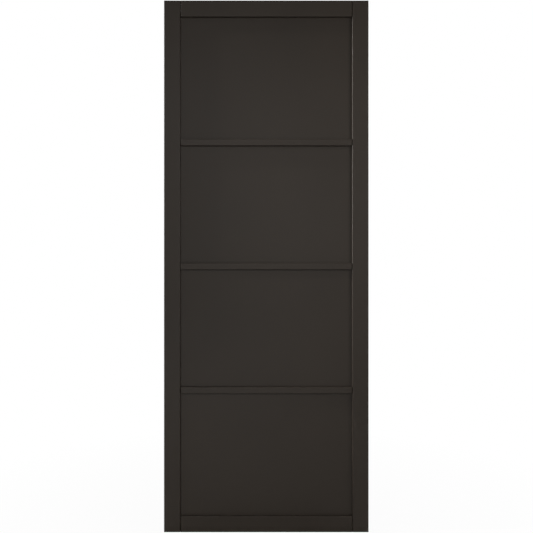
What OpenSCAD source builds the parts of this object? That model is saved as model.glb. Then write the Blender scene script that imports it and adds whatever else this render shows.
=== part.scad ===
// Interior door leaf: two stiles, two rails, three slim bars and four flat panels.
// The origin is the middle of the bottom edge. X runs across the leaf, Y through it and Z up it.
// The front face looks towards -Y, and the back face is the same.

/* [Leaf] */
// Height of the leaf
leaf_height = 1981; // [1850:1:2135]
// Width of the leaf
leaf_width = 762; // [530:1:926]
// Thickness of the leaf
leaf_thickness = 35; // [32:0.5:54]

/* [Stiles and rails] */
// Width of each stile on its face
stile_width = 60; // [52:1:120]
// Height of the top rail on its face
top_rail_height = 60; // [50:1:120]
// Height of the bottom rail on its face
bottom_rail_height = 60; // [50:1:240]

/* [Bars] */
// Height of each bar on its face
bar_height = 24; // [22:0.5:40]
// Distance from the middle of one bar to the middle of the next
bar_pitch = 462; // [300:1:600]

/* [Panels and grooves] */
// Thickness of the panels, and of the stub tenons that share their grooves
panel_thickness = 12; // [9:0.5:18]
// Depth of the groove in the stiles and rails
groove_depth = 10; // [6:0.5:14]
// Depth of the grooves above and below in each bar
bar_groove_depth = 6; // [4:0.5:7]
// Play on each face of a panel or tenon in its groove
groove_play = 0.1; // [0.05:0.05:0.3]
// Room between a panel or tenon and the bottom of its groove
groove_room = 0.8; // [0.4:0.1:2]

/* [Eased edges] */
// Radius along the inner edges, next to the panels
inner_radius = 2; // [0.5:0.1:4]
// Radius round the outside of the leaf
outer_radius = 1.5; // [0.5:0.1:4]
// Chamfer round each panel, inside its grooves
panel_chamfer = 1; // [0.3:0.1:3]

/* [V joints] */
// How far the face of a rail or bar is planed back from its shoulder, which makes the V line of each joint
shoulder_chamfer_width = 3; // [1:0.25:5]
// How deep that chamfer goes into the shoulder
shoulder_chamfer_depth = 4; // [1:0.25:6]

/* [Dowels] */
// Diameter of the dowels in the rails
rail_dowel_diameter = 10; // [8:0.5:12]
// Length of the dowels in the rails, half of it in the stile
rail_dowel_length = 90; // [50:1:110]
// Distance between the two dowels in one end of a rail
rail_dowel_spacing = 26; // [16:1:34]
// Diameter of the dowels in the bars
bar_dowel_diameter = 8; // [6:0.5:10]
// Length of the dowels in the bars, half of it in the stile
bar_dowel_length = 60; // [40:1:100]
// Chamfer at each end of a dowel
dowel_chamfer = 1; // [0.3:0.1:2]
// Play between a dowel and the wall of its bore
dowel_play = 0.05; // [0.02:0.01:0.1]
// Room between the end of a dowel and the end of its bore
dowel_room = 0.8; // [0.4:0.1:2]

/* [Hidden] */
$fn = 48;

PAINT = [0.204, 0.190, 0.176];
BEECH = [0.80, 0.66, 0.47];

// How far a cutter runs past the face that it cuts
cut_past = 1;

// The opening between the stiles and the two rails
opening_width = leaf_width - 2 * stile_width;
opening_bottom = bottom_rail_height;
opening_top = leaf_height - top_rail_height;

groove_width = panel_thickness + 2 * groove_play;

// Width of the panels, and of the rails and bars over their stub tenons
width_in_grooves = opening_width + 2 * (groove_depth - groove_room);

// Middles of the lower, middle and upper bar, and the height of the web between a bar's grooves
bar_middles = [for (step = [-1, 0, 1]) (opening_bottom + opening_top) / 2 + step * bar_pitch];
bar_web = bar_height - 2 * bar_groove_depth;

// Bottoms of the grooves below and above each panel, from the bottom panel to the top one
groove_floors = concat(
    [opening_bottom - groove_depth],
    [for (middle = bar_middles) middle + bar_web / 2]
);
groove_ceilings = concat(
    [for (middle = bar_middles) middle - bar_web / 2],
    [opening_top + groove_depth]
);

// Heights of the two dowels in the whole wood of each rail. A bar has one, in the middle of its web.
rail_dowel_heights = [
    for (middle = [(opening_bottom - groove_depth) / 2, (leaf_height + opening_top + groove_depth) / 2])
        for (side = [-1, 1]) middle + side * rail_dowel_spacing / 2
];

// What a round-over cutter takes off a corner at the origin, where the wood lies towards +X and +Y
module corner_waste(radius) {
    difference() {
        translate([-cut_past, -cut_past]) square(radius + cut_past);
        translate([radius, radius]) circle(radius);
    }
}

// Rectangle from x = 0 to width, centred on y = 0, with its corners rounded at each end of x
module eased_rectangle(width, thickness, start_radius, end_radius) {
    difference() {
        translate([0, -thickness / 2]) square([width, thickness]);
        for (face = [0, 1]) mirror([0, face]) {
            translate([0, -thickness / 2]) corner_waste(start_radius);
            translate([width, -thickness / 2]) mirror([1, 0]) corner_waste(end_radius);
        }
    }
}

// Groove of the given depth in the side of a section that lies at x = 0
module groove_section(depth) {
    translate([-cut_past, -groove_width / 2]) square([depth + cut_past, groove_width]);
}

// Stands a section, drawn as height and thickness, upright and runs it along X about the middle
module run_across(length) {
    rotate([0, -90, 0]) linear_extrude(length, center = true) children();
}

// Turned dowel along X, about its middle, with a chamfer at each end
module dowel(diameter, length) {
    radius = diameter / 2;
    rotate([0, 90, 0]) translate([0, 0, -length / 2]) rotate_extrude()
        polygon([
            [0, 0], [radius - dowel_chamfer, 0], [radius, dowel_chamfer],
            [radius, length - dowel_chamfer], [radius - dowel_chamfer, length], [0, length]
        ]);
}

// The bore for that dowel, wider by its play and longer by its room
module bore(diameter, length) {
    rotate([0, 90, 0]) cylinder(d = diameter + 2 * dowel_play, h = length + 2 * dowel_room, center = true);
}

// Puts what follows on the shoulder line of both stiles at each of the heights
module at_shoulders(heights) {
    for (side = [-1, 1], height = heights) translate([side * opening_width / 2, 0, height]) children();
}

module rail_bores() {
    at_shoulders(rail_dowel_heights) bore(rail_dowel_diameter, rail_dowel_length);
}

module bar_bores() {
    at_shoulders(bar_middles) bore(bar_dowel_diameter, bar_dowel_length);
}

// Right-hand stile: grooved along its inner edge, eased all round, and drilled for every joint
module stile() {
    difference() {
        intersection() {
            translate([opening_width / 2, 0]) linear_extrude(leaf_height) difference() {
                eased_rectangle(stile_width, leaf_thickness, inner_radius, outer_radius);
                groove_section(groove_depth);
            }
            run_across(leaf_width + 2 * cut_past)
                eased_rectangle(leaf_height, leaf_thickness, outer_radius, outer_radius);
        }
        rail_bores();
        bar_bores();
    }
}

// Rectangle from x = 0 to width, centred on y = 0, with its four corners cut back along x and in along y
module chamfered_rectangle(width, thickness, along, in) {
    half = thickness / 2;
    polygon([
        [along, -half], [width - along, -half], [width, in - half], [width, half - in],
        [width - along, half], [along, half], [0, half - in], [0, in - half]
    ]);
}

// Rail or bar that stands on z = 0 between the stiles. Its plan is chamfered at both shoulders and goes on
// as a stub tenon, and its section is grooved below and above where a depth is given.
module cross_member(height, radius_below, radius_above, groove_below, groove_above) {
    intersection() {
        run_across(width_in_grooves) difference() {
            eased_rectangle(height, leaf_thickness, radius_below, radius_above);
            if (groove_below > 0) groove_section(groove_below);
            if (groove_above > 0) translate([height, 0]) mirror([1, 0]) groove_section(groove_above);
        }
        linear_extrude(height) union() {
            translate([-opening_width / 2, 0]) chamfered_rectangle(
                opening_width, leaf_thickness, shoulder_chamfer_width, shoulder_chamfer_depth
            );
            square([width_in_grooves, panel_thickness], center = true);
        }
    }
}

module rail_at_top() {
    difference() {
        translate([0, 0, opening_top])
            cross_member(top_rail_height, inner_radius, outer_radius, groove_depth, 0);
        rail_bores();
    }
}

module rail_at_bottom() {
    difference() {
        cross_member(bottom_rail_height, outer_radius, inner_radius, 0, groove_depth);
        rail_bores();
    }
}

// Slim bar, counted from the bottom of the leaf
module bar(number) {
    difference() {
        translate([0, 0, bar_middles[number] - bar_height / 2])
            cross_member(bar_height, inner_radius, inner_radius, bar_groove_depth, bar_groove_depth);
        bar_bores();
    }
}

// Flat panel, counted from the bottom of the leaf, chamfered round its edge to enter the grooves
module panel(number) {
    floor_height = groove_floors[number] + groove_room;
    height = groove_ceilings[number] - groove_room - floor_height;
    translate([0, 0, floor_height]) intersection() {
        run_across(width_in_grooves)
            chamfered_rectangle(height, panel_thickness, panel_chamfer, panel_chamfer);
        linear_extrude(height) translate([-width_in_grooves / 2, 0])
            chamfered_rectangle(width_in_grooves, panel_thickness, panel_chamfer, panel_chamfer);
    }
}

module hinge_stile() { color(PAINT) mirror([1, 0, 0]) stile(); }
module lock_stile() { color(PAINT) stile(); }
module top_rail() { color(PAINT) rail_at_top(); }
module bottom_rail() { color(PAINT) rail_at_bottom(); }
module lower_bar() { color(PAINT) bar(0); }
module middle_bar() { color(PAINT) bar(1); }
module upper_bar() { color(PAINT) bar(2); }
module bottom_panel() { color(PAINT) panel(0); }
module lower_middle_panel() { color(PAINT) panel(1); }
module upper_middle_panel() { color(PAINT) panel(2); }
module top_panel() { color(PAINT) panel(3); }

module rail_dowels() {
    color(BEECH) at_shoulders(rail_dowel_heights) dowel(rail_dowel_diameter, rail_dowel_length);
}

module bar_dowels() {
    color(BEECH) at_shoulders(bar_middles) dowel(bar_dowel_diameter, bar_dowel_length);
}

hinge_stile();
lock_stile();
top_rail();
bottom_rail();
upper_bar();
middle_bar();
lower_bar();
top_panel();
upper_middle_panel();
lower_middle_panel();
bottom_panel();
rail_dowels();
bar_dowels();
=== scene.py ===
import math

import bmesh
import bpy
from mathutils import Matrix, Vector


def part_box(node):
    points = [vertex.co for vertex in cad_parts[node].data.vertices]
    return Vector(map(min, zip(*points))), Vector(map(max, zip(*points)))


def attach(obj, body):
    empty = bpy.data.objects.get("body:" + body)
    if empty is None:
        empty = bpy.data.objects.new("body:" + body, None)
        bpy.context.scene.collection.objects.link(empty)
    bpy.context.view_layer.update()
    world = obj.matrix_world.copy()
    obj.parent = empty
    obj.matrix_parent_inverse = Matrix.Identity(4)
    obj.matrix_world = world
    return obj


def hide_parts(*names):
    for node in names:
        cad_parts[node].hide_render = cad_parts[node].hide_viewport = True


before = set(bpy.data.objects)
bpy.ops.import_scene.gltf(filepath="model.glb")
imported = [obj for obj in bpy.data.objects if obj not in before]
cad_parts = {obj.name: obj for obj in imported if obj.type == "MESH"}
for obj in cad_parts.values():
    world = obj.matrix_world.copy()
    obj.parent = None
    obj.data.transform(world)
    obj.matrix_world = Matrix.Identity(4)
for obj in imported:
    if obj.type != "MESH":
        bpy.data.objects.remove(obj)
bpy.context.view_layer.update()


# Stiles: the two uprights, which run the full height of the leaf. Each is a glued-up timber blank, planed
# square, with a groove run down its inner edge for the panels and dowel holes bored into that groove.
# The long edges and the ends are eased with a plane, and the leaf is sprayed with satin paint at the end.
stile_low, stile_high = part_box("hinge_stile")
front, back = stile_low.y, stile_high.y
leaf_height = stile_high.z
shoulder = -stile_high.x
panel_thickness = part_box("bottom_panel")[1].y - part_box("bottom_panel")[0].y
LEFT, RIGHT = Vector((-1, 0, 0)), Vector((1, 0, 0))
FRONT, BACK = Vector((0, -1, 0)), Vector((0, 1, 0))
DOWN, UP = Vector((0, 0, -1)), Vector((0, 0, 1))
INNER_ROUND = 0.002
OUTER_ROUND = 0.0015
EASING_PASSES = 8
SAME_POINT = 0.000001
GROOVE_DEPTH = 0.010
GROOVE_PLAY = 0.0001
RAIL_DOWEL_SPACING = 0.026
BORE_PLAY = 0.00005
BORE_ROOM = 0.0008
BORE_SIDES = 32
CUT_PAST = 0.002
SMOOTH_BELOW = math.radians(30)
PAINT_DARK = (0.0244, 0.0185, 0.0134, 1)
PAINT_LIGHT = (0.0276, 0.0209, 0.0152, 1)
PAINT_SPECULAR = 0.25
CLOUD_SCALE = 3.5
CLOUD_DETAIL = 4
CLOUD_ENDS = (0.3, 0.7)
SATIN_ROUGHNESS = (0.40, 0.50)
MARKS_DETAIL = 3
MARKS_STRENGTH = 0.4
MARKS_DEPTH = 0.00001
PEEL_SCALE = 420
PEEL_DETAIL = 2
PEEL_STRENGTH = 0.5
PEEL_DEPTH = 0.00002
AS_STRETCHED = 1
MARKS_UPRIGHT = (260, 260, 9)


def put_down():
    """Leaves edit mode, with nothing selected."""
    if bpy.context.mode == "EDIT_MESH":
        bpy.ops.object.mode_set(mode="OBJECT")
    bpy.ops.object.select_all(action="DESELECT")


def hold(piece):
    """Makes the piece the only one that is selected."""
    put_down()
    bpy.context.view_layer.objects.active = piece
    piece.select_set(True)


def sawn_block(name, low, high):
    """A rectangular block between two corners, with its place in its mesh, ready in edit mode."""
    put_down()
    bpy.ops.mesh.primitive_cube_add(size=1, location=(low + high) / 2)
    block = bpy.context.object
    block.name = block.data.name = name
    block.scale = high - low
    bpy.ops.object.transform_apply(location=True, rotation=True, scale=True)
    bpy.ops.object.mode_set(mode="EDIT")
    return block


def plane_off(point, normal):
    """Takes off all that lies past a plane, as one pass of a hand plane does, and closes the cut."""
    bpy.ops.mesh.select_all(action="SELECT")
    bpy.ops.mesh.bisect(
        plane_co=point,
        plane_no=normal,
        use_fill=True,
        clear_outer=True,
        threshold=SAME_POINT,
    )


def ease_edge(corner, face_a, face_b, radius):
    """Rounds the edge where two faces meet, in passes that each leave a narrow flat along it."""
    centre = corner - radius * (face_a + face_b) / (1 + face_a.dot(face_b))
    half_step = face_a.angle(face_b) / EASING_PASSES / 2
    for number in range(EASING_PASSES):
        normal = face_a.slerp(face_b, (number + 0.5) / EASING_PASSES)
        plane_off(centre + normal * radius * math.cos(half_step), normal)


def cut_away(piece, cutter):
    """Takes the cutter's shape out of the piece."""
    hold(piece)
    bpy.ops.object.modifier_add(type="BOOLEAN")
    cut = piece.modifiers[-1]
    cut.operation = "DIFFERENCE"
    cut.solver = "EXACT"
    cut.object = cutter
    bpy.ops.object.modifier_apply(modifier=cut.name)
    bpy.data.objects.remove(cutter)


def run_groove(piece, low, high):
    """Runs a groove through the piece, as wide as the panels with a little play on each face."""
    half_width = panel_thickness / 2 + GROOVE_PLAY
    groove_low = Vector((low.x, -half_width, low.z))
    groove_high = Vector((high.x, half_width, high.z))
    cut_away(piece, sawn_block("groove_cutter", groove_low, groove_high))


def bore(piece, dowels, side, height):
    """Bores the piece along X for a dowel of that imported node, which is centred on the shoulder line."""
    low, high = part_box(dowels)
    put_down()
    bpy.ops.mesh.primitive_cylinder_add(
        vertices=BORE_SIDES,
        radius=(high.y - low.y) / 2 + BORE_PLAY,
        depth=2 * (high.x - shoulder + BORE_ROOM),
        location=(side.x * shoulder, 0, height),
        rotation=(0, math.pi / 2, 0),
    )
    cut_away(piece, bpy.context.object)


def shade_planed(piece):
    """Shades the eased edges smooth, and keeps the planed faces flat."""
    hold(piece)
    bpy.ops.object.shade_smooth_by_angle(angle=SMOOTH_BELOW)
    bpy.ops.object.modifier_add(type="WEIGHTED_NORMAL")
    weighted = piece.modifiers[-1]
    weighted.keep_sharp = True
    bpy.ops.object.modifier_apply(modifier=weighted.name)


def turned_copy(piece, name, axis, centre):
    """A copy of the piece with a mesh of its own, turned half round about an axis through the centre."""
    hold(piece)
    bpy.ops.object.duplicate(linked=False)
    copy = bpy.context.object
    copy.name = copy.data.name = name
    bpy.ops.transform.rotate(value=math.pi, orient_axis=axis, center_override=centre)
    bpy.ops.object.transform_apply(location=True, rotation=True, scale=True)
    return copy


def satin_paint(name, streaks):
    """Sprayed satin paint: slightly clouded, with a fine orange-peel skin, over faint sanding marks."""
    material = bpy.data.materials.new(name)
    material.use_nodes = True
    nodes, links = material.node_tree.nodes, material.node_tree.links
    shader = nodes["Principled BSDF"]
    shader.inputs["Specular IOR Level"].default_value = PAINT_SPECULAR
    place = nodes.new("ShaderNodeTexCoord").outputs["Object"]

    cloud = nodes.new("ShaderNodeTexNoise")
    cloud.inputs["Scale"].default_value = CLOUD_SCALE
    cloud.inputs["Detail"].default_value = CLOUD_DETAIL
    links.new(place, cloud.inputs["Vector"])
    tone = nodes.new("ShaderNodeValToRGB")
    for stop, position, colour in zip(tone.color_ramp.elements, CLOUD_ENDS, (PAINT_DARK, PAINT_LIGHT)):
        stop.position = position
        stop.color = colour
    links.new(cloud.outputs["Fac"], tone.inputs["Fac"])
    links.new(tone.outputs["Color"], shader.inputs["Base Color"])

    sheen = nodes.new("ShaderNodeMapRange")
    sheen.inputs["To Min"].default_value, sheen.inputs["To Max"].default_value = SATIN_ROUGHNESS
    links.new(cloud.outputs["Fac"], sheen.inputs["Value"])
    links.new(sheen.outputs["Result"], shader.inputs["Roughness"])

    stretch = nodes.new("ShaderNodeMapping")
    stretch.inputs["Scale"].default_value = streaks
    links.new(place, stretch.inputs["Vector"])
    marks = nodes.new("ShaderNodeTexNoise")
    marks.inputs["Scale"].default_value = AS_STRETCHED
    marks.inputs["Detail"].default_value = MARKS_DETAIL
    links.new(stretch.outputs["Vector"], marks.inputs["Vector"])
    sanding = nodes.new("ShaderNodeBump")
    sanding.inputs["Strength"].default_value = MARKS_STRENGTH
    sanding.inputs["Distance"].default_value = MARKS_DEPTH
    links.new(marks.outputs["Fac"], sanding.inputs["Height"])

    skin = nodes.new("ShaderNodeTexNoise")
    skin.inputs["Scale"].default_value = PEEL_SCALE
    skin.inputs["Detail"].default_value = PEEL_DETAIL
    links.new(place, skin.inputs["Vector"])
    peel = nodes.new("ShaderNodeBump")
    peel.inputs["Strength"].default_value = PEEL_STRENGTH
    peel.inputs["Distance"].default_value = PEEL_DEPTH
    links.new(skin.outputs["Fac"], peel.inputs["Height"])
    links.new(sanding.outputs["Normal"], peel.inputs["Normal"])
    links.new(peel.outputs["Normal"], shader.inputs["Normal"])
    return material


def fit(piece, node, material):
    """Gives the finished piece its paint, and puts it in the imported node's place."""
    shade_planed(piece)
    piece.data.materials.clear()
    piece.data.materials.append(material)
    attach(piece, "root")
    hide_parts(node)


left_stile = sawn_block("left_stile", stile_low, stile_high)
for face, y in ((FRONT, front), (BACK, back)):
    ease_edge(Vector((stile_high.x, y, 0)), face, RIGHT, INNER_ROUND)
    ease_edge(Vector((stile_low.x, y, 0)), face, LEFT, OUTER_ROUND)
    ease_edge(Vector((0, y, leaf_height)), face, UP, OUTER_ROUND)
    ease_edge(Vector((0, y, 0)), face, DOWN, OUTER_ROUND)
run_groove(
    left_stile,
    Vector((stile_high.x - GROOVE_DEPTH, 0, -CUT_PAST)),
    Vector((stile_high.x + CUT_PAST, 0, leaf_height + CUT_PAST)),
)
dowels_low, dowels_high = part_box("rail_dowels")
lowest_dowel = dowels_low.z + (dowels_high.y - dowels_low.y) / 2
rail_dowel_heights = [lowest_dowel, lowest_dowel + RAIL_DOWEL_SPACING]
for height in rail_dowel_heights:
    bore(left_stile, "rail_dowels", LEFT, height)
    bore(left_stile, "rail_dowels", LEFT, leaf_height - height)
for node in ("lower_bar", "middle_bar", "upper_bar"):
    low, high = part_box(node)
    bore(left_stile, "bar_dowels", LEFT, (low.z + high.z) / 2)
right_stile = turned_copy(left_stile, "right_stile", "Z", (0, 0, 0))
upright_paint = satin_paint("satin_paint_upright", MARKS_UPRIGHT)
fit(left_stile, "hinge_stile", upright_paint)
fit(right_stile, "lock_stile", upright_paint)


# Rails: the top and bottom members between the stiles, of the same glued-up timber. Each is grooved on its
# inner edge, and has a stub tenon at both ends that fills the stile's groove, with two dowels beside it.
# The shoulders are planed back on both faces before assembly, so that each joint shows as a V line.
rail_low, rail_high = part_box("bottom_rail")
SHOULDER_CHAMFER_WIDTH = 0.003
SHOULDER_CHAMFER_DEPTH = 0.004
SHOULDER_ROUND = 0.001
MARKS_LEVEL = (9, 260, 260)


def select_end(block, side, reach):
    """Selects the faces on one shoulder whose middle is within reach of the piece's centre plane."""
    bpy.ops.mesh.select_all(action="DESELECT")
    mesh = bmesh.from_edit_mesh(block.data)
    for face in mesh.faces:
        middle = face.calc_center_median()
        face.select_set(abs(middle.x - side.x * shoulder) < SAME_POINT and abs(middle.y) < reach)
    bmesh.update_edit_mesh(block.data)


def cross_piece(name, low, high, round_below, round_above):
    """A rail or bar between the shoulders, with eased edges and a tongue at each end for the groove."""
    block = sawn_block(name, Vector((-shoulder, front, low)), Vector((shoulder, back, high)))
    for face, y in ((FRONT, front), (BACK, back)):
        ease_edge(Vector((0, y, low)), face, DOWN, round_below)
        ease_edge(Vector((0, y, high)), face, UP, round_above)
        for side in (LEFT, RIGHT):
            chamfer_line = Vector((side.x * (shoulder - SHOULDER_CHAMFER_WIDTH), y, 0))
            chamfer = (side * SHOULDER_CHAMFER_DEPTH + face * SHOULDER_CHAMFER_WIDTH).normalized()
            plane_off(chamfer_line, chamfer)
            ease_edge(chamfer_line, face, chamfer, SHOULDER_ROUND)
    bpy.ops.mesh.select_mode(type="FACE")
    for side in (LEFT, RIGHT):
        for cheek in (-panel_thickness / 2, panel_thickness / 2):
            select_end(block, side, back)
            bpy.ops.mesh.bisect(plane_co=(0, cheek, 0), plane_no=BACK, threshold=SAME_POINT)
        select_end(block, side, panel_thickness / 2)
        bpy.ops.mesh.extrude_region_move(TRANSFORM_OT_translate={"value": side * (rail_high.x - shoulder)})
    return block


bottom_rail = cross_piece("bottom_rail_painted", rail_low.z, rail_high.z, OUTER_ROUND, INNER_ROUND)
run_groove(
    bottom_rail,
    Vector((rail_low.x - CUT_PAST, 0, rail_high.z - GROOVE_DEPTH)),
    Vector((rail_high.x + CUT_PAST, 0, rail_high.z + CUT_PAST)),
)
for side in (LEFT, RIGHT):
    for height in rail_dowel_heights:
        bore(bottom_rail, "rail_dowels", side, height)
top_rail = turned_copy(bottom_rail, "top_rail_painted", "Y", (0, 0, leaf_height / 2))
level_paint = satin_paint("satin_paint_level", MARKS_LEVEL)
fit(bottom_rail, "bottom_rail", level_paint)
fit(top_rail, "top_rail", level_paint)


# Bars: three slim members, flush with the stiles, that part the panels. They are made like the rails, but
# with a shallow groove on both edges, a short tenon at each end and a single thin dowel in it.
BAR_GROOVE_DEPTH = 0.006
bar_low, bar_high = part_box("lower_bar")
lower_bar = cross_piece("lower_bar_painted", bar_low.z, bar_high.z, INNER_ROUND, INNER_ROUND)
for low, high in (
    (bar_low.z - CUT_PAST, bar_low.z + BAR_GROOVE_DEPTH),
    (bar_high.z - BAR_GROOVE_DEPTH, bar_high.z + CUT_PAST),
):
    run_groove(
        lower_bar,
        Vector((bar_low.x - CUT_PAST, 0, low)),
        Vector((bar_high.x + CUT_PAST, 0, high)),
    )
for side in (LEFT, RIGHT):
    bore(lower_bar, "bar_dowels", side, (bar_low.z + bar_high.z) / 2)
for node in ("middle_bar", "upper_bar"):
    hold(lower_bar)
    bpy.ops.object.duplicate(linked=False)
    bar = bpy.context.object
    bar.name = bar.data.name = node + "_painted"
    bpy.ops.transform.translate(value=(0, 0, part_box(node)[0].z - bar_low.z))
    bpy.ops.object.transform_apply(location=True, rotation=True, scale=True)
    fit(bar, node, level_paint)
fit(lower_bar, "lower_bar", level_paint)


# Panels: four flat boards of fibreboard, held loose in the grooves. The arris round each board is taken off
# so that it enters the groove, and both faces are sprayed with the same paint as the frame.
PANEL_CHAMFER = 0.001
MARKS_ALL_WAYS = (40, 40, 40)
panel_paint = satin_paint("satin_paint_panel", MARKS_ALL_WAYS)
for node in ("bottom_panel", "lower_middle_panel", "upper_middle_panel", "top_panel"):
    panel = sawn_block(node + "_painted", *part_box(node))
    bpy.ops.mesh.select_mode(type="EDGE")
    bpy.ops.mesh.select_all(action="DESELECT")
    mesh = bmesh.from_edit_mesh(panel.data)
    for edge in mesh.edges:
        along = (edge.verts[1].co - edge.verts[0].co).normalized()
        edge.select_set(abs(along.y) < SAME_POINT)
    bmesh.update_edit_mesh(panel.data)
    bpy.ops.mesh.bevel(offset=PANEL_CHAMFER, segments=1, affect="EDGES")
    fit(panel, node, panel_paint)


# Dowels: turned beech pegs, glued into the bores across each shoulder line. They are bare wood, with the
# grain along the peg, and are hidden once the leaf is together.
BEECH_DARK = (0.42, 0.25, 0.12, 1)
BEECH_LIGHT = (0.62, 0.42, 0.23, 1)
BEECH_ROUGHNESS = 0.6
GRAIN_ALONG_PEG = (25, 700, 700)
GRAIN_DETAIL = 4
FLECK_ENDS = (0.35, 0.6)
beech = bpy.data.materials.new("bare_beech")
beech.use_nodes = True
nodes, links = beech.node_tree.nodes, beech.node_tree.links
nodes["Principled BSDF"].inputs["Roughness"].default_value = BEECH_ROUGHNESS
along_peg = nodes.new("ShaderNodeMapping")
along_peg.inputs["Scale"].default_value = GRAIN_ALONG_PEG
links.new(nodes.new("ShaderNodeTexCoord").outputs["Object"], along_peg.inputs["Vector"])
grain = nodes.new("ShaderNodeTexNoise")
grain.inputs["Scale"].default_value = AS_STRETCHED
grain.inputs["Detail"].default_value = GRAIN_DETAIL
links.new(along_peg.outputs["Vector"], grain.inputs["Vector"])
flecks = nodes.new("ShaderNodeValToRGB")
for stop, position, colour in zip(flecks.color_ramp.elements, FLECK_ENDS, (BEECH_DARK, BEECH_LIGHT)):
    stop.position = position
    stop.color = colour
links.new(grain.outputs["Fac"], flecks.inputs["Fac"])
links.new(flecks.outputs["Color"], nodes["Principled BSDF"].inputs["Base Color"])
for node in ("rail_dowels", "bar_dowels"):
    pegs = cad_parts[node]
    pegs.data.materials.clear()
    pegs.data.materials.append(beech)


# Floor: a plain pale studio floor, which the leaf stands on. To the camera most of what it shows is its own
# white, so that it runs into the white room, and the rest is lit, so that it keeps the leaf's shadow.
FLOOR_SIZE = 14
FLOOR_DROP = 0.0005
FLOOR_GREY = (0.55, 0.55, 0.55, 1)
FLOOR_ROUGHNESS = 0.9
FLOOR_SPECULAR = 0.1
WHITE_AT_LEAF = 0.93
SHADOW_REACH = 1.6
put_down()
bpy.ops.mesh.primitive_plane_add(size=FLOOR_SIZE, location=(0, 0, -FLOOR_DROP))
floor = bpy.context.object
floor.name = floor.data.name = "studio_floor"
pale = bpy.data.materials.new("pale_floor")
pale.use_nodes = True
nodes, links = pale.node_tree.nodes, pale.node_tree.links
nodes["Principled BSDF"].inputs["Base Color"].default_value = FLOOR_GREY
nodes["Principled BSDF"].inputs["Roughness"].default_value = FLOOR_ROUGHNESS
nodes["Principled BSDF"].inputs["Specular IOR Level"].default_value = FLOOR_SPECULAR
away = nodes.new("ShaderNodeVectorMath")
away.operation = "LENGTH"
links.new(nodes.new("ShaderNodeTexCoord").outputs["Object"], away.inputs[0])
whiteness = nodes.new("ShaderNodeMapRange")
whiteness.inputs["From Max"].default_value = SHADOW_REACH
whiteness.inputs["To Min"].default_value = WHITE_AT_LEAF
links.new(away.outputs["Value"], whiteness.inputs["Value"])
seen = nodes.new("ShaderNodeMath")
seen.operation = "MULTIPLY"
links.new(whiteness.outputs["Result"], seen.inputs[0])
links.new(nodes.new("ShaderNodeLightPath").outputs["Is Camera Ray"], seen.inputs[1])
blend = nodes.new("ShaderNodeMixShader")
links.new(seen.outputs["Value"], blend.inputs["Fac"])
links.new(nodes["Principled BSDF"].outputs["BSDF"], blend.inputs[1])
links.new(nodes.new("ShaderNodeEmission").outputs["Emission"], blend.inputs[2])
links.new(blend.outputs["Shader"], nodes["Material Output"].inputs["Surface"])
floor.data.materials.append(pale)


# Light: a dim grey room all round, white only where the camera looks past the leaf, and soft boxes in front
# and behind. Two spots behind slits, far left, send thin upright beams past the left edge to the edges that
# face them further on. Only paint shows, so the room isn't made white for its reflections too.
ROOM_GREY = 0.16
WHITE = (1, 1, 1, 1)
WIDE_OPEN = 180
LEAF_MIDDLE = (0, 0, leaf_height / 2)
SLIT_PLACE = (-3.2, -0.25)
SLIT_AIM = (0.3, -0.056)
SLIT_BEAM = math.radians(3)
SLIT_BLEND = 0.4
SLIT_SPOT_RADIUS = 0.02
world = bpy.data.worlds.new("studio")
bpy.context.scene.world = world
world.use_nodes = True
nodes, links = world.node_tree.nodes, world.node_tree.links
room = nodes["Background"]
room.inputs["Color"].default_value = WHITE
room.inputs["Strength"].default_value = ROOM_GREY
white = nodes.new("ShaderNodeBackground")
white.inputs["Color"].default_value = WHITE
ray = nodes.new("ShaderNodeLightPath")
blend = nodes.new("ShaderNodeMixShader")
links.new(ray.outputs["Is Camera Ray"], blend.inputs["Fac"])
links.new(room.outputs["Background"], blend.inputs[1])
links.new(white.outputs["Background"], blend.inputs[2])
links.new(blend.outputs["Shader"], nodes["World Output"].inputs["Surface"])


def hang(lamp, place, aim):
    """Hangs a lamp at its place, turned to face a point and out of the camera's sight."""
    fitting = bpy.data.objects.new(lamp.name, lamp)
    bpy.context.scene.collection.objects.link(fitting)
    fitting.location = place
    fitting.rotation_euler = (Vector(aim) - Vector(place)).to_track_quat("-Z", "Y").to_euler()
    fitting.visible_camera = False
    return fitting


def soft_box(name, place, aim, width, height, power, spread=WIDE_OPEN):
    """A rectangular soft box, with its beam narrowed by a grid if need be."""
    lamp = bpy.data.lights.new(name, "AREA")
    lamp.shape = "RECTANGLE"
    lamp.size = width
    lamp.size_y = height
    lamp.energy = power
    lamp.spread = math.radians(spread)
    hang(lamp, place, aim)


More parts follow.
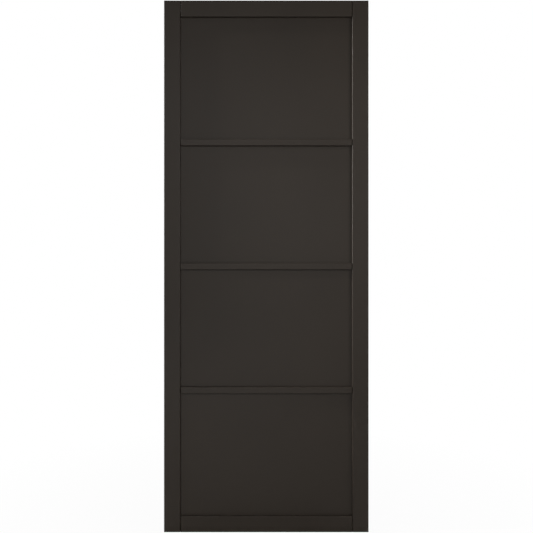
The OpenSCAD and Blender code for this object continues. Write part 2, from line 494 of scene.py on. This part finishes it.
def slit_spot(name, height, aim_height, angle, power):
    """A spot behind an upright slit, which leaves a tall beam, only as wide as the slit lets through."""
    lamp = bpy.data.lights.new(name, "SPOT")
    lamp.energy = power
    lamp.spot_size = math.radians(angle)
    lamp.spot_blend = SLIT_BLEND
    lamp.shadow_soft_size = SLIT_SPOT_RADIUS
    narrowness = math.tan(SLIT_BEAM / 2) / math.tan(lamp.spot_size / 2)
    hang(lamp, (*SLIT_PLACE, height), (*SLIT_AIM, aim_height)).scale.x = narrowness


soft_box("right_box", (1.97, -1.54, 1.71), (-0.2, 0, 1.3), width=0.8, height=1.0, power=10.3, spread=110)
soft_box("front_box", (-0.5, -2.86, 2.3), LEAF_MIDDLE, width=1.7, height=0.9, power=10.8)
soft_box("camera_box", (-0.1, -2.4, 1.2), LEAF_MIDDLE, width=1.5, height=0.6, power=5.0)
soft_box("low_box", (-0.59, -2.2, 0.25), LEAF_MIDDLE, width=2.4, height=0.3, power=5.2)
soft_box("floor_box", (-0.7, -1.8, 1.2), (-0.15, -0.35, 0), width=0.8, height=0.4, power=1.0, spread=50)
soft_box("back_left_box", (-2.6, 1.7, 2.4), LEAF_MIDDLE, width=0.8, height=1.4, power=70)
soft_box("back_right_box", (2.6, 1.7, 2.4), LEAF_MIDDLE, width=0.8, height=1.4, power=70)
slit_spot("high_slit", height=3.1, aim_height=1.55, angle=24, power=550)
slit_spot("low_slit", height=1.7, aim_height=1.1, angle=34, power=720)


# Camera: square on to the front, level with the leaf's mid-height, as far off as the leaf's height asks.
VIEW_ANGLE = math.radians(45)
FRAME_HEIGHT = 1.9852
CAMERA_ASIDE = 0.0008
CAMERA_BELOW_MIDDLE = 0.0007
distance = FRAME_HEIGHT / 2 / math.tan(VIEW_ANGLE / 2)
lens = bpy.data.cameras.new("photo_camera")
lens.lens_unit = "FOV"
lens.angle = VIEW_ANGLE
camera = bpy.data.objects.new("photo_camera", lens)
bpy.context.scene.collection.objects.link(camera)
camera.location = (CAMERA_ASIDE, front - distance, leaf_height / 2 - CAMERA_BELOW_MIDDLE)
camera.rotation_euler = (math.pi / 2, 0, 0)
bpy.context.scene.camera = camera
bpy.context.scene.view_settings.view_transform = "Standard"
